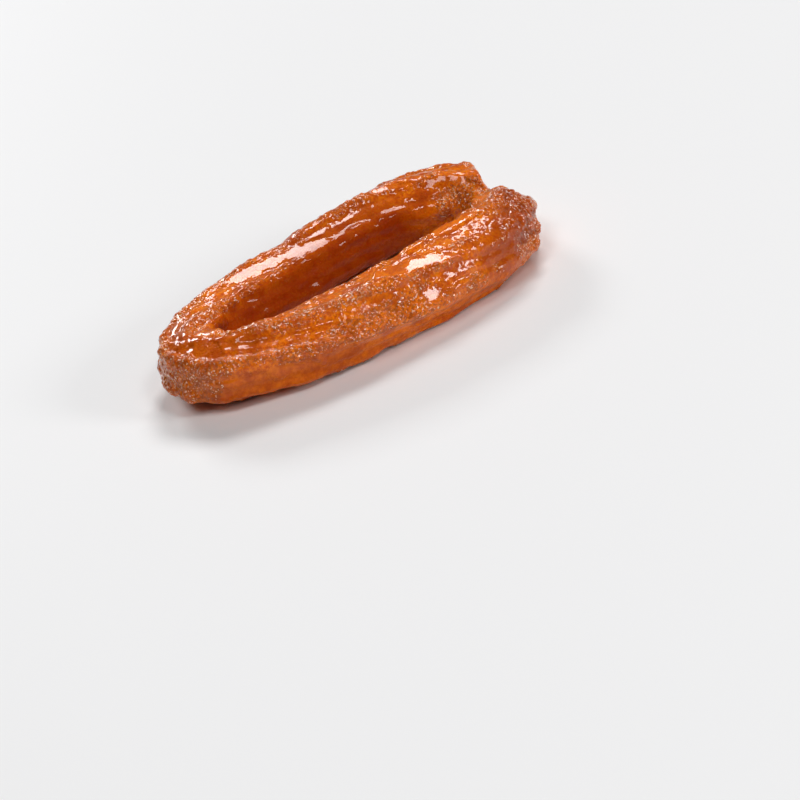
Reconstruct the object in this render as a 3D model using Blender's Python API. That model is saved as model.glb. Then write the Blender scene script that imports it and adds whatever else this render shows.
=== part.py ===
"""A syrup-glazed ring cruller: one rope of star-piped dough, bent into a long loop and closed by pressing its two
blunt ends together.

Metres, +Z up. X runs along the loop, from the round bend at -X to the joined ends at +X. The origin is on the
surface that the ring lies on, under the middle of the ring's box."""

import math

import bmesh
import bpy
from mathutils import Euler, Matrix, Vector

MM = 0.001

# The nozzle's outline
ROPE_RADIUS = 9.5 * MM  # to the ridges' crests
RIDGES = 6
RIDGE_DEPTH = 0.15  # of the radius, from a crest down to the valleys beside it
RIDGE_SHARPNESS = 0.75  # under 1 makes narrow valleys
POINTS_PER_RIDGE = 6
SETTLING = 0.97  # the section's height over its width, as soft dough sinks

# The route of the rope's middle, seen from above, from the end at the back to the end in front. Each knot has x, y
# and a lift in millimetres, and a share of ROPE_RADIUS.
ROUTE = (
    (51.0, 2.6, 0.6, 0.92),
    (45.6, 11.0, 0.5, 0.96),
    (35.8, 18.0, 0.3, 0.99),
    (23.4, 20.8, 0.1, 1.00),
    (8.4, 20.2, 0.0, 0.98),
    (-8.0, 18.2, 0.1, 0.96),
    (-21.0, 15.8, 0.1, 0.94),
    (-29.4, 14.0, 0.2, 0.91),
    (-36.8, 11.5, 0.4, 0.87),
    (-41.9, 6.7, 0.5, 0.84),
    (-42.9, -0.2, 0.4, 0.84),
    (-38.9, -6.0, 0.2, 0.87),
    (-31.2, -9.4, 0.1, 0.91),
    (-21.0, -12.8, 0.0, 0.94),
    (-5.0, -16.2, 0.3, 0.99),
    (10.4, -17.4, 0.4, 1.03),
    (23.4, -17.6, 0.2, 1.05),
    (33.0, -16.0, 0.2, 1.05),
    (39.6, -12.4, -0.1, 1.00),
    (43.6, -7.2, -1.1, 0.92),
    (45.6, -1.6, -1.9, 0.84),
    (46.2, 2.8, -2.0, 0.70),
    (46.2, 5.0, -2.0, 0.50),
)
RINGS_PER_KNOT = 5
EASING = 6  # rounds of averaging each ring with its neighbours
FIRST_TURN = 0.0  # degrees, how the nozzle's ridges stand at the route's start
TURN = 185.0  # degrees, how far the ridges wind round the rope over its length

# The lumps that frying leaves
LUMP_SIZE = 9 * MM
LUMP_HEIGHT = 1.3 * MM

# The cut across the rope at the back end: a slanted face, and the slab that takes away what lies past it
CUT_PLACE = (52.0 * MM, 10.8 * MM, 10.0 * MM)
CUT_FACES = (0.89, -0.43, 0.15)
CUT_SLAB = (26 * MM, 26 * MM, 10 * MM)

# Dough squeezed out where the ends are pressed together: each lump has x, y and z in millimetres, and a radius
SEAM = (
    (44.2, 2.4, 8.4, 5.4),
    (48.4, 2.0, 5.4, 6.2),
    (48.0, -1.8, 5.2, 6.2),
)

# Crumbs of torn crust round the front end, given in the same way
CRUMBS = (
    (43.4, -7.4, 13.4, 2.3),
    (44.4, -10.8, 14.2, 2.4),
    (43.0, -15.0, 13.4, 2.3),
    (43.9, -16.6, 10.8, 2.5),
    (42.9, -19.3, 8.4, 2.3),
    (40.4, -21.6, 6.2, 2.3),
)

BASE_CUT = 0.8 * MM  # the depth of rope that the flat underneath takes away
TABLE = (0.2, 0.2, 0.02)  # the slab that makes that flat

DOUGH_COLOUR = (0.42, 0.13, 0.02, 1.0)
DOUGH_ROUGHNESS = 0.25
WELD = 0.01 * MM


def clear_scene():
    for old in list(bpy.data.objects):
        bpy.data.objects.remove(old, do_unlink=True)


def make_collection(name):
    made = bpy.data.collections.new(name)
    bpy.context.scene.collection.children.link(made)
    return made


def hide_guide(guide, guides):
    for home in list(guide.users_collection):
        home.objects.unlink(guide)
    guides.objects.link(guide)
    guide.hide_render = True
    guide.display_type = "WIRE"


def dough_material():
    made = bpy.data.materials.new("fried_dough")
    made.use_nodes = True
    shader = made.node_tree.nodes["Principled BSDF"]
    shader.inputs["Base Color"].default_value = DOUGH_COLOUR
    shader.inputs["Roughness"].default_value = DOUGH_ROUGHNESS
    shader.inputs["Metallic"].default_value = 0.0
    return made


def between(a, b, c, d, t):
    """A smooth curve's value at t of the way from b to c, where a and d are the values on either side."""
    return 0.5 * (
        2 * b + (c - a) * t + (2 * a - 5 * b + 4 * c - d) * t**2 + (3 * b - a - 3 * c + d) * t**3
    )


def rope_middle():
    """A smooth curve through the route's knots: each ring's place and its share of the radius."""
    knots = [ROUTE[0], *ROUTE, ROUTE[-1]]
    rings = []
    for i in range(len(ROUTE) - 1):
        for step in range(RINGS_PER_KNOT):
            t = step / RINGS_PER_KNOT
            rings.append([between(*four, t) for four in zip(*knots[i : i + 4])])
    rings.append(ROUTE[-1])
    for _ in range(EASING):
        eased = [[(a + 2 * b + c) / 4 for a, b, c in zip(*three)] for three in zip(rings, rings[1:], rings[2:])]
        rings = [rings[0], *eased, rings[-1]]
    height = ROPE_RADIUS * SETTLING - BASE_CUT
    return [(Vector((x * MM, y * MM, height + lift * MM)), share) for x, y, lift, share in rings]


def nozzle_outline(guides):
    """The star that the dough is pressed through, as a flat closed curve."""
    data = bpy.data.curves.new("nozzle_outline", "CURVE")
    data.dimensions = "2D"
    line = data.splines.new("POLY")
    count = RIDGES * POINTS_PER_RIDGE
    line.points.add(count - 1)
    for i, point in enumerate(line.points):
        angle = 2 * math.pi * i / count
        crest = abs(math.cos(RIDGES * angle / 2)) ** RIDGE_SHARPNESS
        radius = ROPE_RADIUS * (1 - RIDGE_DEPTH * (1 - crest))
        point.co = (radius * math.cos(angle), radius * math.sin(angle), 0, 1)
    line.use_cyclic_u = True
    made = bpy.data.objects.new("nozzle_outline", data)
    hide_guide(made, guides)
    return made


def weld_caps(mesh):
    """A curve's caps are loose, so this joins them to its sides."""
    work = bmesh.new()
    work.from_mesh(mesh)
    bmesh.ops.remove_doubles(work, verts=work.verts, dist=WELD)
    bmesh.ops.recalc_face_normals(work, faces=work.faces)
    work.to_mesh(mesh)
    work.free()


def piped_rope(outline, parts):
    """The outline carried along the route while it winds, as a mesh with closed ends."""
    data = bpy.data.curves.new("rope_path", "CURVE")
    data.dimensions = "3D"
    data.twist_mode = "Z_UP"
    data.bevel_mode = "OBJECT"
    data.bevel_object = outline
    data.use_fill_caps = True
    rings = rope_middle()
    line = data.splines.new("POLY")
    line.points.add(len(rings) - 1)
    for i, (point, (place, share)) in enumerate(zip(line.points, rings)):
        point.co = (*place, 1)
        point.radius = share
        point.tilt = math.radians(FIRST_TURN + TURN * i / (len(rings) - 1))
    path = bpy.data.objects.new("rope_path", data)
    parts.objects.link(path)
    graph = bpy.context.evaluated_depsgraph_get()
    mesh = bpy.data.meshes.new_from_object(path.evaluated_get(graph))
    ring = bpy.data.objects.new("cruller", mesh)
    ring.matrix_world = path.matrix_world
    parts.objects.link(ring)
    bpy.data.objects.remove(path)
    weld_caps(mesh)
    return ring


def raise_lumps(ring):
    texture = bpy.data.textures.new("lumps", "CLOUDS")
    texture.noise_scale = LUMP_SIZE
    texture.noise_depth = 1
    lumps = ring.modifiers.new("lumps", "DISPLACE")
    lumps.texture = texture
    lumps.texture_coords = "LOCAL"
    lumps.mid_level = 0.5
    lumps.strength = LUMP_HEIGHT


def slab(name, size, place, turn, guides):
    bpy.ops.mesh.primitive_cube_add(size=1, location=place, rotation=turn)
    made = bpy.context.object
    made.name = name
    made.data.transform(Matrix.Diagonal((*size, 1)))
    hide_guide(made, guides)
    return made


def cut_away(ring, cutter):
    cut = ring.modifiers.new(cutter.name, "BOOLEAN")
    cut.operation = "DIFFERENCE"
    cut.object = cutter
    cut.use_self = True


def trim_back_end(ring, guides):
    """The slanted cut that leaves the back end square and flat."""
    facing = Vector(CUT_FACES).normalized()
    place = Vector(CUT_PLACE) + facing * CUT_SLAB[2] / 2
    turn = facing.to_track_quat("Z", "Y").to_euler()
    cut_away(ring, slab("back_end_cut", CUT_SLAB, place, turn, guides))


def add_knobs(ring, name, knobs, detail, guides):
    """Joins round knobs to the rope. The first join also makes the rope's two touching ends one solid."""
    made = bpy.data.collections.new(name)
    guides.children.link(made)
    for i, (x, y, z, radius) in enumerate(knobs):
        bpy.ops.mesh.primitive_ico_sphere_add(
            subdivisions=detail,
            radius=radius * MM,
            location=(x * MM, y * MM, z * MM),
            rotation=Euler((i, 2 * i, 0)),  # so that no two knobs' facets lie alike
        )
        hide_guide(bpy.context.object, made)
    join = ring.modifiers.new(name, "BOOLEAN")
    join.operation = "UNION"
    join.operand_type = "COLLECTION"
    join.collection = made
    join.use_self = True


def flatten_base(ring, guides):
    """The flat that the ring lies on, at z = 0."""
    place = (0, 0, -TABLE[2] / 2)
    cut_away(ring, slab("table", TABLE, place, (0, 0, 0), guides))


def centre_over_origin(ring, guides):
    """Fixes the modifiers into the mesh, then moves it and its cutters so that its box's middle is over the origin."""
    graph = bpy.context.evaluated_depsgraph_get()
    mesh = bpy.data.meshes.new_from_object(ring.evaluated_get(graph))
    ring.modifiers.clear()
    ring.data = mesh
    across = [[vertex.co[axis] for vertex in mesh.vertices] for axis in range(2)]
    middle = Vector([(min(values) + max(values)) / 2 for values in across] + [0])
    mesh.transform(Matrix.Translation(-middle))
    for guide in guides.all_objects:
        guide.location -= middle


def main():
    clear_scene()
    parts = make_collection("ring_cruller")
    guides = make_collection("guides")
    ring = piped_rope(nozzle_outline(guides), parts)
    raise_lumps(ring)
    trim_back_end(ring, guides)
    add_knobs(ring, "seam", SEAM, 3, guides)
    add_knobs(ring, "crumbs", CRUMBS, 2, guides)
    flatten_base(ring, guides)
    centre_over_origin(ring, guides)
    ring.data.materials.append(dough_material())


main()
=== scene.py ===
"""The looks of a syrup-glazed ring cruller: its crust and syrup film, a pale floor, soft lamps and a camera.

Metres, +Z up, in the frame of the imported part. The ring lies on z = 0 with its length along X."""

import math

import bmesh
import bpy
import numpy as np
from mathutils import Matrix, Vector, noise


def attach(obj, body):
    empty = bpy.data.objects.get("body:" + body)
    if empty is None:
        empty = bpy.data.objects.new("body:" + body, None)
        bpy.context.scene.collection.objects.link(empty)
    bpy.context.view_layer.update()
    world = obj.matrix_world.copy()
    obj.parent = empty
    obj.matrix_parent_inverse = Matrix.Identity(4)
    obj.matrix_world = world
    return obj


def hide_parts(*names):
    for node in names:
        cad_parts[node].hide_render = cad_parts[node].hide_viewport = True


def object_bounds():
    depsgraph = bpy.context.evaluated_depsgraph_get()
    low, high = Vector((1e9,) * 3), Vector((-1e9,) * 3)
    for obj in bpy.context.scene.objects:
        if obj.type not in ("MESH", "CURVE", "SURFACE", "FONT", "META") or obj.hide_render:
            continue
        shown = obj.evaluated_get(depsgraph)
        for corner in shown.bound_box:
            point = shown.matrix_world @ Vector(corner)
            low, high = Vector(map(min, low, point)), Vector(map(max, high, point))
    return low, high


MM = 0.001

# The surface's faces
COARSE = 0.6 * MM  # the size of the even faces that the ridges are reshaped on, which are then halved
WELD = 0.01 * MM
MOST_TRIANGLES = 196_000

# The piped ridges
FACET_REACH = 0.9 * MM  # smoothing over this reach takes the solid's facets away
RIDGE_REACH = 2.6 * MM  # and over this one the ridges too
CUT_REACH = 0.3 * MM  # and over this one the edges that the cut leaves
VALLEY_RISE = -0.30 * MM  # the height of a valley's floor and of a crest over the ring's broad shape
CREST_RISE = 0.18 * MM
SHOULDER_CUT = 1.7 * MM  # how far the ridges' shoulders are cut back, which leaves narrow crests
CREST_NARROWING = 2.4

# The rope's middle line, found from the ring's vertices
OVAL_SHARE = (0.38, 0.32)  # the first guess's half length and half width over the box's sides
LINE_KNOTS = 24
LINE_ROUNDS = 8  # how often the knots settle amid the vertices
LINE_POINTS = 240  # on the finished line
LINE_SMOOTHING = 60
TURN_REACH = 0.8 * MM  # the smoothing that takes the line's points out of the vertices' turn
VERTICES_AT_ONCE = 20_000

# Streaks along the rope's surface. Each runs from one place to another and has half its width in millimetres. A
# place is how far round the ring and how far round the rope's section it is, in degrees: see Rope.
POOLS = (  # where syrup lies flat
    ((260, 80), (288, 48), 2.2),
    ((272, 14), (274, 2), 1.5),
    ((252, 42), (259, 38), 0.8),
    ((292, 108), (306, 97), 1.1),
    ((131, 90), (88, 132), 2.2),
    ((98, 150), (78, 165), 0.6),
    ((26, 124), (6, 112), 1.3),
    ((50, 98), (36, 108), 1.0),
    ((172, 60), (171, 100), 0.9),
    ((178, 50), (180, 95), 1.0),
    ((185, 52), (185, 84), 1.1),
    ((191, 45), (189, 72), 1.2),
)
CALM = (  # where the crust is smooth
    ((190, 340), (300, 315), 4.0),
    ((30, 180), (150, 182), 6.5),
    ((45, 128), (88, 130), 2.0),
    ((168, 75), (196, 70), 3.2),
    ((210, 175), (330, 195), 4.5),
)
CRUSTS = (  # where it is torn and blistered
    ((190, 112), (205, 86), 1.3),
    ((205, 84), (250, 60), 1.7),
    ((179, 40), (200, 30), 1.2),
    ((200, 30), (240, 2), 1.3),
    ((240, 2), (270, 348), 1.5),
    ((232, 16), (272, 20), 2.4),
    ((168, 350), (186, 352), 3.5),
    ((168, 30), (184, 25), 3.0),
    ((352, 90), (15, 165), 3.5),
    ((323, 0), (333, 60), 5.5),
    ((322, 70), (334, 110), 4.5),
)
RAISED = (  # where a fold stands up or sinks: a third number gives how far, in millimetres
    ((156, 140), (188, 118), 4.6, 2.6),
    ((188, 118), (206, 86), 2.8, 1.2),
    ((206, 84), (222, 68), 1.8, 0.6),
    ((222, 68), (250, 61), 1.8, 0.6),
    ((250, 61), (262, 80), 1.6, 0.3),
    ((262, 96), (300, 112), 1.6, 0.4),
    ((179, 38), (200, 30), 1.6, 0.8),
    ((200, 30), (240, 2), 1.6, 0.8),
    ((240, 2), (270, 350), 1.8, 0.5),
    ((205, 0), (208, 338), 1.7, 0.4),
    ((222, 355), (224, 342), 1.4, 0.45),
    ((238, 348), (240, 332), 1.2, 0.35),
    ((188, 74), (235, 38), 2.6, -0.5),
)
PAINTED_SHADE_AND_BROWN = (  # where the crust is painted darker, partly as a browner crust and partly as painted shade: a third number gives how much
    ((58, 118), (100, 108), 9.0, 0.55),
    ((165, 75), (200, 65), 8.0, 0.6),
    ((180, 345), (235, 330), 10.0, 0.4),
    ((312, 15), (334, 50), 13.0, 0.9),
    ((20, 355), (160, 355), 14.0, 0.55),
)
PAINTED_SHEEN = (  # where fine pale specks are painted on it as a sheen of tiny glints on the syrup film, given in the same way
    ((160, 112), (198, 104), 5.0, 1.0),
    ((160, 60), (176, 95), 3.5, 1.0),
    ((165, 25), (186, 8), 6.0, 1.0),
    ((352, 90), (15, 165), 6.0, 1.0),
    ((200, 96), (208, 82), 2.2, 1.0),
    ((208, 82), (250, 60), 2.6, 1.0),
    ((322, 340), (334, 30), 7.0, 1.0),
)
TORN = ((325, 10), (335, 80), 9.0)  # where knobs of torn crust stand round the front end
STREAK_EDGE = 0.45 * MM  # the width over which a streak fades
RAGGED = (0.7 * MM, 1.6 * MM, 7.0)  # how far a streak's edge wanders, the size of its bays, and their shift

# The sides of wider places, in degrees: where each place starts and where it is whole
HOLE_TOP = (105, 170)  # round the section: the hole's wall
HOLE_BASE = (270, 225)
HOLE_START = (20, 50)  # round the ring: the same wall, clear of the joined ends
HOLE_END = (345, 310)
UNDER_OUTSIDE = (350, 325)  # round the section: the rope's lower side
UNDER_HOLE = (180, 200)
BEND_START = (145, 165)  # round the ring: the bend
BEND_END = (212, 192)
BEND_OUTSIDE = (0, 40)  # round the section: the bend's upper side

# The crust's relief. Each kind of hill has a height, a size and a shift that makes its pattern unlike the rest.
SWELLS = (0.22 * MM, 6 * MM, 1.0)
RIPPLES = (0.10 * MM, 2.2 * MM, 8.0)
GRAINS = (0.16 * MM, 1.2 * MM, 2.0)
BLISTERS = (0.18 * MM, 1.1 * MM, 4.0)
KNOBS = (0.75 * MM, 3.2 * MM, 5.0)
HILL_LAYERS = 2  # hills on hills: how many sizes, how fast the smaller get lower, and how much smaller each is
HILL_FADE = 0.7
HILL_STEP = 2.1
HILL_SHIFT = (1, 2.7, -1.3)  # the way in which a shift moves the pattern
BLISTER_SHIFT = (1, 1.9, 0.7)
BLISTER_EDGE = 1.6  # a blister's size over its radius
PLEATS = (0.9 * MM, 3.4 * MM, 14 * MM, 6.0)  # round the bend: their height, size along and around it, and shift
PLEAT_TOP = 0.3  # how high a pleat's top is, over its height
MOTTLE = (6 * MM, 3.1, 3)  # places where the crust is rougher: their size, their shift and their layers
ROUGH_CRESTS = 0.9  # how much rougher the ridges' crests are than their valleys
ROUGH_MOTTLE = 0.7  # and how much the mottle adds
SMOOTH_CREST = 0.4  # how high on a ridge, from 0 to 1, its crust starts to be rough
WHOLLY_ROUGH = 0.7
LIP = 0.2 * MM  # how far the crests stand up
LIP_CREST = (0.75, 1.0)  # how high on a ridge the lip starts and is whole, and the same for the mottle
LIP_MOTTLE = (-0.5, 0.5)
SHADE_TORN = (0.1, 0.6)  # how torn the crust is where its hollows start to get painted shade and where they get it wholly
SHADE_HOLLOW = (0.15, -0.35)  # how low such a hollow is, over the knobs' height
POOL_FLATNESS = 0.9  # the share of the relief that a pool of syrup hides

# Patterns in the crust's colour and gloss: the size, the detail and the roughness of each
GRAIN_NOISE = (0.7 * MM, 2.0, 0.6)
PATCH_NOISE = (4 * MM, 5.0, 0.65)
BUBBLE_NOISE = (2.2 * MM, 2.0, 0.5)
SPECK_NOISE = (0.5 * MM, 1.0, 0.5)
GRAIN_RELIEF = 0.25 * MM

# The values of those patterns, and of the places kept in the mesh, where each thing starts and is whole
LIGHT_IN_GRAIN = (0.31, 0.69)
COAT_IN_PATCH = (0.40, 0.66)
BUMPY_IN_BUBBLE = (0.42, 0.56)
SHEEN_IN_SPECK = (0.48, 0.70)
SHEEN_IN_PLACE = (0.0, 0.9)
GLINT_IN_SPECK = (0.61, 0.66)
GLINT_IN_BUBBLE = (0.44, 0.56)
GLINT_IN_CRUST = (0.2, 0.8)
FLAKY_IN_CRUST = (0.2, 0.9)
DULL_IN_CRUST = (0.1, 0.8)
DARK_IN_SHADE = (0.6, 0.3)
FLAT_IN_POOL = (0.0, 0.9)
CALM_IN_HOLE = (0.3, 0.9)
FEWEST_GLINTS = 0.15  # the share of the painted glints that is left where the crust isn't bubbly

# The small flat flakes that make the syrup film glint
FINE_FLAKE = 0.58 * MM
BROAD_FLAKE = 1.2 * MM
SMOOTH_SLOPE = 0.03  # how far they lean: in the smooth film, on bubbles and on the torn crust
BUBBLE_SLOPE = 0.14
CRUST_SLOPE = 0.36
BROAD_SLOPE = 0.8  # the broad flakes' lean over the fine ones'
CALM_SLOPE = 0.25  # the share of the lean that is left in calm places and in the hole

# The dough's colours, then the coats over them: the most that each one covers, and its colour
DARK_GRAIN = (0.65, 0.096, 0.0005, 1)
LIGHT_GRAIN = (0.94, 0.236, 0.002, 1)
CALM_COAT = (0.5, (0.80, 0.168, 0.001, 1))
PATCH_COAT = (0.85, (0.47, 0.061, 0.0005, 1))
FLAKE_COAT = (0.55, (0.20, 0.030, 0.001, 1))
CRUST_COAT = (0.15, (0.56, 0.16, 0.02, 1))
# painted shade and a browner crust over the darker streaks
PAINTED_SHADE_AND_BROWN_COAT = (1.0, (0.36, 0.047, 0.0005, 1))
# painted sheen: pale specks that stand for the haze of tiny glints on the syrup film
PAINTED_SHEEN_COAT = (0.5, (0.76, 0.40, 0.22, 1))
# painted glints: bright specks that stand for the glints of the crust
PAINTED_GLINT_COAT = (0.75, (0.95, 0.66, 0.48, 1))
# painted shade in the hollows between the torn knobs round the front end
HOLLOW_SHADE_COAT = (0.75, (0.26, 0.040, 0.004, 1))
# painted shade: the hole's wall darkened, standing for the shade that the ring casts into its own hole
HOLE_SHADE_COAT = (0.8, (0.26, 0.0175, 0.0001, 1))

# The dough and the syrup film
GLOSSY_ROUGHNESS = 0.35
CRUST_ROUGHNESS = 0.6
DRY_FILM = 0.3  # the film's weight on the hole's wall
UNDER_DRYNESS = 0.75  # the rope's lower side, between 0, where the film is whole, and 1, as on the hole's wall
SHADER = {
    "IOR": 1.4,
    "Specular IOR Level": 0.05,
    "Subsurface Weight": 0.4,
    "Subsurface Radius": (1.0, 0.35, 0.1),
    "Subsurface Scale": 2.0 * MM,
    "Coat Roughness": 0.04,
    "Coat IOR": 1.4,
}

# The studio. Each lamp has its azimuth and elevation, its width and height as seen from the ring, all in
# degrees, and its brightness as it looks in a mirror.
LAMPS = {
    "key": (122, 54, 21.6, 16.2, 14.5),
    "side": (28, 22, 13.2, 12.4, 19),
    "front": (4, 50, 11.2, 11.2, 15),
    "left": (-56, 54, 18.5, 17.5, 8.2),
    "rim": (171, 28, 18.4, 11.4, 15),
}
LAMP_DISTANCE = 1.6
SKY_BRIGHTNESS = 0.03
FLOOR_SIZE = 3.0
FLOOR_DROP = 0.05 * MM
FLOOR_COLOUR = (0.83, 0.83, 0.835, 1)
FLOOR_ROUGHNESS = 0.6

# The camera. Its angles are in degrees and its lens is in millimetres.
CAMERA_AZIMUTH = -31.0
CAMERA_ELEVATION = 29.0
CAMERA_ROLL = 15.0
CAMERA_DISTANCE = 0.475
CAMERA_LENS = 97.0
CAMERA_NEAREST = 0.01
CAMERA_AIM = (-19.77 * MM, -41.66 * MM, 0.0)


class Surface:
    """A mesh's vertices as arrays, with smoothing over its edges."""

    def __init__(self, mesh):
        self.mesh = mesh
        self.count = len(mesh.vertices)
        ends = np.empty(len(mesh.edges) * 2, np.int64)
        mesh.edges.foreach_get("vertices", ends)
        self.ends = ends.reshape(-1, 2)
        self.degree = np.bincount(ends, minlength=self.count).astype(float)
        gaps = self.positions()[self.ends]
        self.spacing = np.linalg.norm(gaps[:, 0] - gaps[:, 1], axis=1).mean()

    def positions(self):
        found = np.empty(self.count * 3)
        self.mesh.vertices.foreach_get("co", found)
        return found.reshape(-1, 3)

    def place(self, points):
        self.mesh.vertices.foreach_set("co", np.ascontiguousarray(points).ravel())
        self.mesh.update()

    def normals(self):
        found = np.empty(self.count * 3)
        self.mesh.vertex_normals.foreach_get("vector", found)
        return found.reshape(-1, 3)

    def smoothed(self, values, reach):
        """Each vertex's value averaged with its neighbours' over this reach, in metres."""
        columns = values.reshape(self.count, -1)
        first, second = self.ends.T
        # each round spreads a value by half an edge, and such spreads add up as their squares do
        for _ in range(math.ceil(4 * (reach / self.spacing) ** 2)):
            mean = np.empty_like(columns)
            for i, column in enumerate(columns.T):
                total = np.bincount(first, column[second], self.count)
                total += np.bincount(second, column[first], self.count)
                mean[:, i] = total / self.degree
            columns = (columns + mean) / 2
        return columns.reshape(values.shape)

    def keep(self, name, values):
        """Stores one number for each vertex, for finer meshes made from this one and for the material."""
        layer = self.mesh.attributes.new(name, "FLOAT", "POINT")
        layer.data.foreach_set("value", values.astype(np.float32))

    def kept(self, name):
        found = np.empty(self.count, np.float32)
        self.mesh.attributes[name].data.foreach_get("value", found)
        return found.astype(float)


def smoothstep(low, high, values):
    share = np.clip((values - low) / (high - low), 0, 1)
    return share * share * (3 - 2 * share)


def shifted(points, size, shift, way):
    """The places in a pattern of this size, which starts elsewhere for each shift."""
    start = Vector([shift * part for part in way])
    return [Vector(point) + start for point in (points / size).tolist()]


def pattern(points, size, shift, layers):
    """Soft random hills over space, about -1 to 1, each about one size across, with smaller ones on them."""
    places = shifted(points, size, shift, HILL_SHIFT)
    return np.array([noise.fractal(place, HILL_FADE, HILL_STEP, layers) for place in places])


def hills(points, kind):
    height, size, shift = kind
    return height * pattern(points, size, shift, HILL_LAYERS)


def blisters(points, size, shift):
    """Round blisters that touch, 0 at their edges and 1 at their tops."""
    places = shifted(points, size, shift, BLISTER_SHIFT)
    nearest = np.array([noise.voronoi(place)[0][0] for place in places])
    return np.sqrt(np.clip(1 - BLISTER_EDGE * nearest, 0, 1))


def pleats(points, shift):
    """Hills of size 1 that are folded, so that they meet in sharp valleys."""
    places = shifted(points, 1, shift, HILL_SHIFT)
    return PLEAT_TOP - np.abs([noise.noise(place) for place in places])


def applied(made, kind, **settings):
    """Changes the object's mesh with one modifier and returns the new surface."""
    modifier = made.modifiers.new(kind, kind)
    for key, value in settings.items():
        setattr(modifier, key, value)
    graph = bpy.context.evaluated_depsgraph_get()
    mesh = bpy.data.meshes.new_from_object(made.evaluated_get(graph))
    made.modifiers.clear()
    made.data = mesh
    return Surface(mesh)


def welded_copy(node, name):
    work = bmesh.new()
    work.from_mesh(node.data)
    bmesh.ops.remove_doubles(work, verts=work.verts, dist=WELD)
    mesh = bpy.data.meshes.new(name)
    work.to_mesh(mesh)
    work.free()
    made = bpy.data.objects.new(name, mesh)
    bpy.context.scene.collection.objects.link(made)
    return made


def narrow_crests(surface):
    """Smooths the solid's facets away and cuts the ridges' shoulders back. Returns each vertex's place between
    a valley, 0, and a crest, 1."""
    points = surface.smoothed(surface.positions(), FACET_REACH)
    surface.place(points)
    out = surface.normals()
    rise = np.einsum("ij,ij->i", points - surface.smoothed(points, RIDGE_REACH), out)
    rise -= surface.smoothed(rise, RIDGE_REACH)
    crest = np.clip((rise - VALLEY_RISE) / (CREST_RISE - VALLEY_RISE), 0, 1)
    cut = SHOULDER_CUT * (crest**CREST_NARROWING - crest)
    surface.place(surface.smoothed(points + out * cut[:, None], CUT_REACH))
    return crest


def evenly_spaced(line, count):
    closed = np.vstack((line, line[:1]))
    gone = np.concatenate(([0], np.cumsum(np.linalg.norm(np.diff(closed, axis=0), axis=1))))
    stops = np.linspace(0, gone[-1], count, endpoint=False)
    return np.column_stack([np.interp(stops, gone, column) for column in closed.T])


def eased(line, rounds):
    for _ in range(rounds):
        line = (2 * line + np.roll(line, 1, 0) + np.roll(line, -1, 0)) / 4
    return line


def rope_line(points, low, high):
    """The rope's middle line seen from above. It starts as an oval, and its knots settle amid the vertices."""
    turn = np.linspace(0, 2 * math.pi, LINE_POINTS, endpoint=False)
    half_length, half_width = (share * (b - a) for share, a, b in zip(OVAL_SHARE, low, high))
    oval = np.column_stack((half_length * np.cos(turn), half_width * np.sin(turn)))
    line = evenly_spaced(oval, LINE_KNOTS)
    for _ in range(LINE_ROUNDS):
        nearest = nearest_on(line, points)
        count = np.bincount(nearest, minlength=LINE_KNOTS)
        sums = [np.bincount(nearest, points[:, axis], LINE_KNOTS) for axis in range(2)]
        line = np.column_stack([total / count for total in sums])
        line = evenly_spaced(eased(line, 1), LINE_KNOTS)
    return evenly_spaced(eased(evenly_spaced(line, LINE_POINTS), LINE_SMOOTHING), LINE_POINTS)


def nearest_on(line, points):
    """The line's nearest point to each vertex, seen from above."""
    found = [
        np.argmin(((part[:, None, :2] - line[None]) ** 2).sum(2), 1)
        for part in np.array_split(points, len(points) // VERTICES_AT_ONCE + 1)
    ]
    return np.concatenate(found)


class Rope:
    """Where each vertex is on the rope. turn is how far round the ring, and section how far round the rope from
    the outside, through the top at 90, to the hole at 180. Both are in degrees."""

    def __init__(self, surface, points, line):
        nearest = nearest_on(line, points)
        step = np.roll(line, -1, 0) - np.roll(line, 1, 0)
        length = np.linalg.norm(step, axis=1)
        outward = np.column_stack((step[:, 1], -step[:, 0])) / length[:, None]
        angle = 2 * math.pi * nearest / len(line)
        ring_way = surface.smoothed(np.column_stack((np.cos(angle), np.sin(angle))), TURN_REACH)
        across = ((points[:, :2] - line[nearest]) * outward[nearest]).sum(1)
        self.radius = points[:, 2].max() / 2
        self.ring_radius = length.sum() / 2 / (2 * math.pi)
        self.turn = np.degrees(np.arctan2(ring_way[:, 1], ring_way[:, 0])) % 360
        self.section = np.degrees(np.arctan2(points[:, 2] - self.radius, across)) % 360

    def unrolled(self, along, around):
        """Places on the unrolled rope for a pattern of this size along and around it. It joins underneath."""
        turn = np.radians(self.turn)
        girth = np.radians((self.section + 90) % 360) * self.radius / around
        ring = self.ring_radius / along
        return np.column_stack((ring * np.cos(turn), ring * np.sin(turn), girth))

    def streak(self, start, end, half_width):
        """1 inside a straight streak over the rope, 0 outside."""
        gap = self.gap(start, end)
        return smoothstep(half_width + STREAK_EDGE / 2, half_width - STREAK_EDGE / 2, gap)

    def fold(self, start, end, half_width):
        """1 along a streak's middle, falling off to 0 at its edge."""
        return smoothstep(half_width, 0, self.gap(start, end))

    def gap(self, start, end):
        along, across, length = self.beside(start, end)
        return np.hypot(along - np.clip(along, 0, length), across)

    def beside(self, start, end):
        """How far along a streak each vertex is and how far to its side, and the streak's length."""
        scale = np.radians((self.ring_radius, self.radius))
        here = np.column_stack((self.turn, self.section)) - start
        here = ((here + 180) % 360 - 180) * scale
        run = ((np.subtract(end, start) + 180) % 360 - 180) * scale
        length = np.linalg.norm(run)
        run = run / length
        return here @ run, here @ (run[1], -run[0]), length


def raised(points, out, rope):
    """The vertices with the folds raised. Where folds meet, the one that moves a vertex farthest counts."""
    rises = np.zeros(len(points))
    for start, end, width, rise in RAISED:
        fold = rise * MM * rope.fold(start, end, width * MM)
        rises = np.where(np.abs(fold) > np.abs(rises), fold, rises)
    return points + out * rises[:, None]


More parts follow.
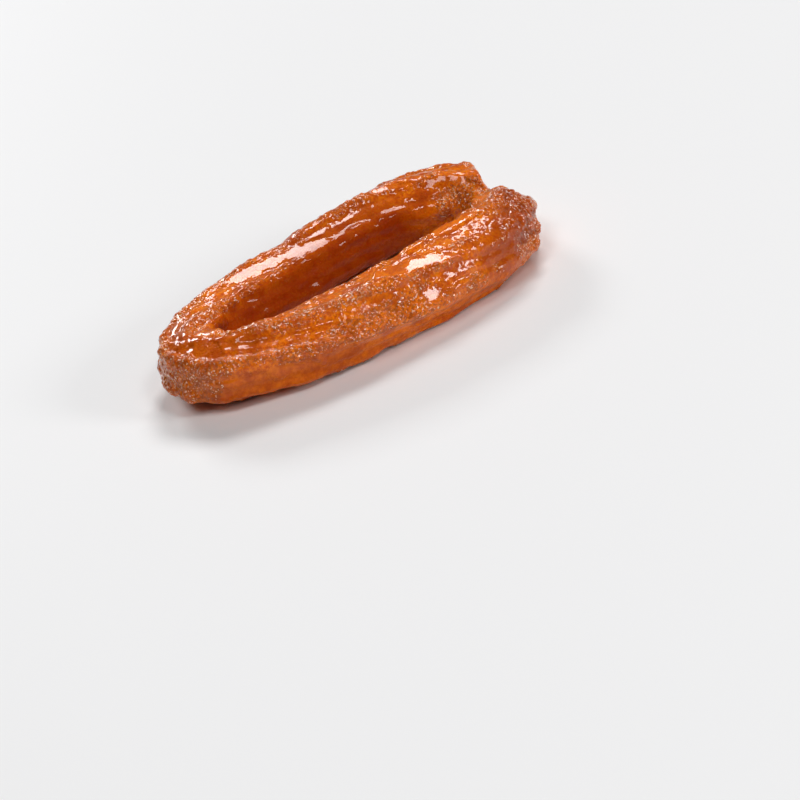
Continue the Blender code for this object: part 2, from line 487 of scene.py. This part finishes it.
def level(points, rope, streak, share):
    """Moves a streak's vertices toward a surface that is straight across it and bends gently along it."""
    start, end, half_width = streak
    along, across, length = rope.beside(start, end)
    t = along / length
    basis = np.column_stack((np.ones_like(t), t, t**2, across / half_width))
    inside = share > 0.5
    fitted, *_ = np.linalg.lstsq(basis[inside], points[inside], rcond=None)
    near = share > 0
    points[near] += (basis[near] @ fitted - points[near]) * share[near, None]


def level_pools(points, rope, ragged):
    """Levels the pools of syrup and returns each vertex's share in them."""
    pool = np.zeros(len(points))
    for start, end, width in POOLS:
        share = rope.streak(start, end, width * MM + ragged)
        level(points, rope, (start, end, width * MM), share)
        pool = np.maximum(pool, share)
    return pool


def inside_any(rope, streaks, ragged):
    return np.max([rope.streak(*ends, width * MM + ragged) for *ends, width in streaks], axis=0)


def strongest_fold(rope, streaks):
    """Each streak's share along its middle, falling off to 0 at its edge."""
    folds = [share * rope.fold(*ends, width * MM) for *ends, width, share in streaks]
    return np.max(folds, axis=0)


def relief(points, rope, crest, mottle, calm, rough):
    """How far the crust stands out at each vertex."""
    height = hills(points, SWELLS)
    height += LIP * smoothstep(*LIP_CREST, crest) * smoothstep(*LIP_MOTTLE, mottle) * (1 - calm)
    height += hills(points, RIPPLES) * (1 - calm)
    height += rough * hills(points, GRAINS)
    blister_height, size, shift = BLISTERS
    height += rough * blister_height * (blisters(points, size, shift) - 0.5)
    pleat_height, along, around, shift = PLEATS
    bend = smoothstep(*BEND_START, rope.turn) * smoothstep(*BEND_END, rope.turn)
    bend *= smoothstep(*BEND_OUTSIDE, rope.section)
    height += bend * pleat_height * pleats(rope.unrolled(along, around), shift)
    return height


def keep_masks(surface, rope, torn, knobs):
    """Stores the places that the material colours."""
    # the hole's wall: it gets painted shade, a thinner syrup film and calmer flakes
    hole = smoothstep(*HOLE_TOP, rope.section) * smoothstep(*HOLE_BASE, rope.section)
    surface.keep("hole", hole * smoothstep(*HOLE_START, rope.turn) * smoothstep(*HOLE_END, rope.turn))
    surface.keep("under", smoothstep(*UNDER_OUTSIDE, rope.section) * smoothstep(*UNDER_HOLE, rope.section))
    # painted shade: the hollows between the torn knobs
    surface.keep("hollow_shade", smoothstep(*SHADE_TORN, torn) * smoothstep(*SHADE_HOLLOW, knobs))
    # the darker streaks: partly painted shade, partly a browner crust
    surface.keep("painted_shade_and_brown", strongest_fold(rope, PAINTED_SHADE_AND_BROWN))
    # the places of the painted sheen of tiny glints
    surface.keep("painted_sheen", strongest_fold(rope, PAINTED_SHEEN))


def shape_ring(ring, low, high):
    """Turns a welded copy of the solid, with its box's corners low and high, into the finished ring."""
    surface = applied(ring, "REMESH", mode="VOXEL", voxel_size=COARSE)
    line = rope_line(surface.positions(), low, high)
    surface.keep("crest", narrow_crests(surface))
    surface = applied(ring, "SUBSURF", levels=1, render_levels=1)
    crest = surface.kept("crest")
    points = surface.positions()
    rope = Rope(surface, points, line)
    points = raised(points, surface.normals(), rope)

    ragged = hills(points, RAGGED)
    pool = level_pools(points, rope, ragged)
    calm = inside_any(rope, CALM, ragged)
    mottle = pattern(points, *MOTTLE)
    rough = ROUGH_CRESTS * (crest - SMOOTH_CREST) + ROUGH_MOTTLE * mottle
    rough = smoothstep(0, WHOLLY_ROUGH, rough)
    rough = np.maximum(rough * (1 - calm), inside_any(rope, CRUSTS, ragged)) * (1 - pool)

    surface.place(points)
    start, end, width = TORN
    torn = rope.fold(start, end, width * MM)
    knob_height, size, shift = KNOBS
    knobs = pattern(points, size, shift, HILL_LAYERS)
    height = relief(points, rope, crest, mottle, calm, rough) + torn * (knob_height * knobs)
    points = points + surface.normals() * (height * (1 - POOL_FLATNESS * pool))[:, None]
    points[:, 2] = np.maximum(points[:, 2], 0)
    surface.place(points)

    surface.keep("crust", rough)
    surface.keep("pool", pool)
    surface.keep("calm", np.maximum(calm, pool))
    keep_masks(surface, rope, torn, knobs)
    triangles = 2 * len(ring.data.polygons)
    applied(ring, "DECIMATE", ratio=MOST_TRIANGLES / triangles, use_collapse_triangulate=True)
    ring.data.shade_smooth()


class Nodes:
    """Short ways to add nodes to a material."""

    # a Mix node also has sockets for numbers and vectors: these are the share's and the colours'
    MIX_INPUTS = (0, 6, 7)
    MIX_RESULT = 2

    def __init__(self, name):
        self.material = bpy.data.materials.new(name)
        self.material.use_nodes = True
        self.tree = self.material.node_tree
        self.shader = self.tree.nodes["Principled BSDF"]

    def add(self, kind, **inputs):
        node = self.tree.nodes.new("ShaderNode" + kind)
        for key, value in inputs.items():
            self.feed(node.inputs[key], value)
        return node

    def feed(self, socket, value):
        if isinstance(value, bpy.types.NodeSocket):
            self.tree.links.new(value, socket)
        else:
            socket.default_value = value

    def operate(self, kind, operation, *values):
        node = self.add(kind)
        node.operation = operation
        for socket, value in zip(node.inputs, values):
            self.feed(socket, value)
        return node.outputs[0]

    def math(self, operation, first, second):
        return self.operate("Math", operation, first, second)

    def times(self, first, second):
        return self.math("MULTIPLY", first, second)

    def vector(self, operation, *values):
        return self.operate("VectorMath", operation, *values)

    def scaled(self, vector, factor):
        node = self.add("VectorMath")
        node.operation = "SCALE"
        self.feed(node.inputs["Vector"], vector)
        self.feed(node.inputs["Scale"], factor)
        return node.outputs["Vector"]

    def noise(self, where, size, detail, roughness):
        node = self.add("TexNoise", Vector=where, Scale=1 / size, Detail=detail, Roughness=roughness)
        return node.outputs["Fac"]

    def mix(self, share, first, second):
        node = self.add("Mix")
        node.data_type = "RGBA"
        for socket, value in zip(self.MIX_INPUTS, (share, first, second)):
            self.feed(node.inputs[socket], value)
        return node.outputs[self.MIX_RESULT]

    def covered(self, colour, share, coat):
        """The colour with a coat over it, where the share goes up to 1."""
        most, coat_colour = coat
        return self.mix(self.times(share, most), colour, coat_colour)

    def between(self, value, low, high, to_low=0.0, to_high=1.0):
        """Goes from to_low to to_high while the value goes from low to high."""
        node = self.add("MapRange")
        node.interpolation_type = "SMOOTHSTEP"
        keys = ("Value", "From Min", "From Max", "To Min", "To Max")
        for key, number in zip(keys, (value, low, high, to_low, to_high)):
            self.feed(node.inputs[key], number)
        return node.outputs[0]

    def attribute(self, name):
        node = self.tree.nodes.new("ShaderNodeAttribute")
        node.attribute_name = name
        return node.outputs["Fac"]


def flakes(n, where, size, slope):
    """A random lean and a random shade for each of the small flat flakes that cover the surface."""
    shade = n.add("TexVoronoi", Vector=where, Scale=1 / size).outputs["Color"]
    lean = n.vector("MULTIPLY_ADD", shade, (2, 2, 2), (-1, -1, -1))
    return n.scaled(lean, slope), shade


def film_slope(n, bubbly, crust):
    """How far the flakes of the syrup film lean."""
    on_bubbles = n.between(bubbly, *BUMPY_IN_BUBBLE, SMOOTH_SLOPE, BUBBLE_SLOPE)
    slope = n.math("MAXIMUM", on_bubbles, n.between(crust, *FLAKY_IN_CRUST, 0.0, CRUST_SLOPE))
    slope = n.times(slope, n.between(n.attribute("calm"), 0.0, 1.0, 1.0, CALM_SLOPE))
    slope = n.times(slope, n.between(n.attribute("pool"), *FLAT_IN_POOL, 1.0, 0.0))
    return n.times(slope, n.between(n.attribute("hole"), *CALM_IN_HOLE, 1.0, CALM_SLOPE))


def crust_colour(n, where, grain, bubbly, crust, shade):
    colour = n.mix(n.between(grain, *LIGHT_IN_GRAIN), DARK_GRAIN, LIGHT_GRAIN)
    colour = n.covered(colour, n.attribute("calm"), CALM_COAT)
    colour = n.covered(colour, n.between(n.noise(where, *PATCH_NOISE), *COAT_IN_PATCH), PATCH_COAT)
    dark_flakes = n.times(n.between(shade, *DARK_IN_SHADE), n.between(crust, *FLAKY_IN_CRUST))
    colour = n.covered(colour, dark_flakes, FLAKE_COAT)
    colour = n.covered(colour, crust, CRUST_COAT)
    # painted shade and a browner crust along the darker streaks
    colour = n.covered(colour, n.attribute("painted_shade_and_brown"), PAINTED_SHADE_AND_BROWN_COAT)
    specks = n.noise(where, *SPECK_NOISE)
    # painted sheen: pale specks for the haze of tiny glints
    painted_sheen = n.times(n.between(specks, *SHEEN_IN_SPECK), n.between(n.attribute("painted_sheen"), *SHEEN_IN_PLACE))
    colour = n.covered(colour, painted_sheen, PAINTED_SHEEN_COAT)
    # painted glints: sparse bright specks on the crust
    painted_glints = n.times(n.between(specks, *GLINT_IN_SPECK), n.between(crust, *GLINT_IN_CRUST))
    painted_glints = n.times(painted_glints, n.between(bubbly, *GLINT_IN_BUBBLE, FEWEST_GLINTS, 1.0))
    colour = n.covered(colour, painted_glints, PAINTED_GLINT_COAT)
    # painted shade in the hollows between the torn knobs
    colour = n.covered(colour, n.attribute("hollow_shade"), HOLLOW_SHADE_COAT)
    # painted shade over the hole's wall
    return n.covered(colour, n.attribute("hole"), HOLE_SHADE_COAT)


def dough_material():
    n = Nodes("fried_dough")
    for name, value in SHADER.items():
        n.shader.inputs[name].default_value = value
    where = n.add("TexCoord").outputs["Object"]
    crust = n.attribute("crust")
    grain = n.noise(where, *GRAIN_NOISE)
    bubbly = n.noise(where, *BUBBLE_NOISE)
    slope = film_slope(n, bubbly, crust)
    fine, shade = flakes(n, where, FINE_FLAKE, slope)
    broad, _ = flakes(n, where, BROAD_FLAKE, n.times(slope, BROAD_SLOPE))
    n.feed(n.shader.inputs["Base Color"], crust_colour(n, where, grain, bubbly, crust, shade))
    roughness = n.between(crust, *DULL_IN_CRUST, GLOSSY_ROUGHNESS, CRUST_ROUGHNESS)
    n.feed(n.shader.inputs["Roughness"], roughness)
    bump = n.add("Bump", Strength=1.0, Distance=1.0, Height=n.times(grain, GRAIN_RELIEF))
    n.feed(n.shader.inputs["Normal"], bump.outputs["Normal"])
    facing = n.add("NewGeometry").outputs["Normal"]
    film = n.vector("NORMALIZE", n.vector("ADD", n.vector("ADD", facing, fine), broad))
    n.feed(n.shader.inputs["Coat Normal"], film)
    dry = n.math("MAXIMUM", n.attribute("hole"), n.times(n.attribute("under"), UNDER_DRYNESS))
    n.feed(n.shader.inputs["Coat Weight"], n.between(dry, 0.0, 1.0, 1.0, DRY_FILM))
    return n.material


def direction(azimuth, elevation):
    """The way from the ring to something at this azimuth, 0 at -Y and 90 at +X, and elevation, in degrees."""
    azimuth, elevation = math.radians(azimuth), math.radians(elevation)
    level_part = math.cos(elevation)
    return Vector((math.sin(azimuth) * level_part, -math.cos(azimuth) * level_part, math.sin(elevation)))


def add_camera():
    azimuth, roll = math.radians(CAMERA_AZIMUTH), math.radians(CAMERA_ROLL)
    back = direction(CAMERA_AZIMUTH, CAMERA_ELEVATION)
    sideways = Vector((math.cos(azimuth), math.sin(azimuth), 0))
    upright = back.cross(sideways)
    right = math.cos(roll) * sideways - math.sin(roll) * upright
    up = math.sin(roll) * sideways + math.cos(roll) * upright
    turn = Matrix((right, up, back)).transposed()
    camera = bpy.data.objects.new("camera", bpy.data.cameras.new("camera"))
    camera.data.lens = CAMERA_LENS
    camera.data.clip_start = CAMERA_NEAREST
    camera.matrix_world = Matrix.Translation(Vector(CAMERA_AIM) + back * CAMERA_DISTANCE) @ turn.to_4x4()
    bpy.context.scene.collection.objects.link(camera)
    bpy.context.scene.camera = camera


def add_lamp(name, azimuth, elevation, width, height, brightness):
    """A soft rectangular lamp that faces the ring. Its power follows from its size and its brightness."""
    data = bpy.data.lights.new(name, "AREA")
    data.shape = "RECTANGLE"
    data.size, data.size_y = (2 * LAMP_DISTANCE * math.tan(math.radians(a) / 2) for a in (width, height))
    data.energy = brightness * math.pi * data.size * data.size_y
    light = bpy.data.objects.new(name, data)
    way = direction(azimuth, elevation)
    light.location = way * LAMP_DISTANCE
    light.rotation_euler = way.to_track_quat("Z", "Y").to_euler()
    bpy.context.scene.collection.objects.link(light)


def add_floor():
    bpy.ops.mesh.primitive_plane_add(size=FLOOR_SIZE, location=(0, 0, -FLOOR_DROP))
    floor = bpy.context.object
    floor.name = "floor"
    pale = bpy.data.materials.new("pale_floor")
    pale.use_nodes = True
    shader = pale.node_tree.nodes["Principled BSDF"]
    shader.inputs["Base Color"].default_value = FLOOR_COLOUR
    shader.inputs["Roughness"].default_value = FLOOR_ROUGHNESS
    floor.data.materials.append(pale)


def add_studio():
    world = bpy.data.worlds.new("studio")
    world.use_nodes = True
    sky = world.node_tree.nodes["Background"]
    sky.inputs["Color"].default_value = (1, 1, 1, 1)
    sky.inputs["Strength"].default_value = SKY_BRIGHTNESS
    bpy.context.scene.world = world
    add_floor()
    for name, lamp in LAMPS.items():
        add_lamp(name, *lamp)


bpy.context.scene.view_settings.view_transform = "Standard"
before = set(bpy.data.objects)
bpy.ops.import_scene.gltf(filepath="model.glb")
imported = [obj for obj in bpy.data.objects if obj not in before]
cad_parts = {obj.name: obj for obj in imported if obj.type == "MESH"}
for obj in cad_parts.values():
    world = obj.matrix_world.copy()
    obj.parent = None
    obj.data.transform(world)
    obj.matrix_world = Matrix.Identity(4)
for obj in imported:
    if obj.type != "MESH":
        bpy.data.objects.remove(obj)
cad_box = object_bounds()
add_camera()
add_studio()
ring = welded_copy(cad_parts["cruller"], "glazed_cruller")
shape_ring(ring, *cad_box)
ring.data.materials.append(dough_material())
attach(ring, "root")
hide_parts("cruller")
